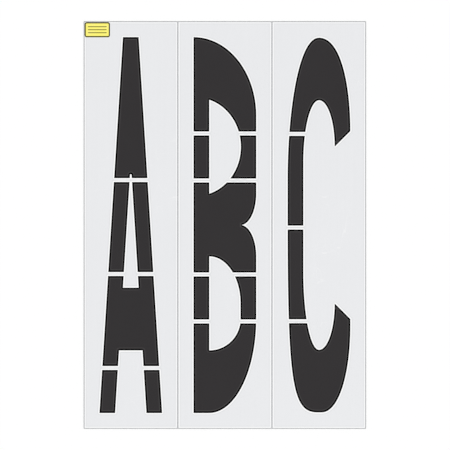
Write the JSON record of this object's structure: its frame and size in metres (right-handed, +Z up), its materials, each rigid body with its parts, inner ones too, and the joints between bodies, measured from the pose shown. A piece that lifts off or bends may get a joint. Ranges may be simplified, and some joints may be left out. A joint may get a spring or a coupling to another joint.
{
  "type": "lettering stencil",
  "caption": "Set of loose flat plastic sheets laid edge to edge, with tall narrow capital letters cut through them for painting on a road or floor; bridges hold the islands.",
  "frame": {"origin": "centre of the underside of the whole set, on the ground that it lies on", "axes": "+X along the line of lettering from the A to the C, +Y from the foot of the letters to their head, +Z up out of the face of the sheets"},
  "size_m": [1.8304, 2.6416, 0.0035],
  "materials": {
    "sheet_plastic": "satin milky polyethylene",
    "label_vinyl": "glossy vinyl"
  },
  "bodies": {
    "sheet_b": {"sheet_letter_b": "sheet_plastic"},
    "sheet_a": {"sheet_letter_a": "sheet_plastic", "write_on_label": "label_vinyl"},
    "sheet_c": {"sheet_letter_c": "sheet_plastic"}
  },
  "joints": [
    {"name": "sheet_a_lift", "type": "slide", "parent": "sheet_b", "child": "sheet_a", "axis": [0, 0, 1], "range_m": [0, 0.3]},
    {"name": "sheet_c_lift", "type": "slide", "parent": "sheet_b", "child": "sheet_c", "axis": [0, 0, 1], "range_m": [0, 0.3]}
  ]
}
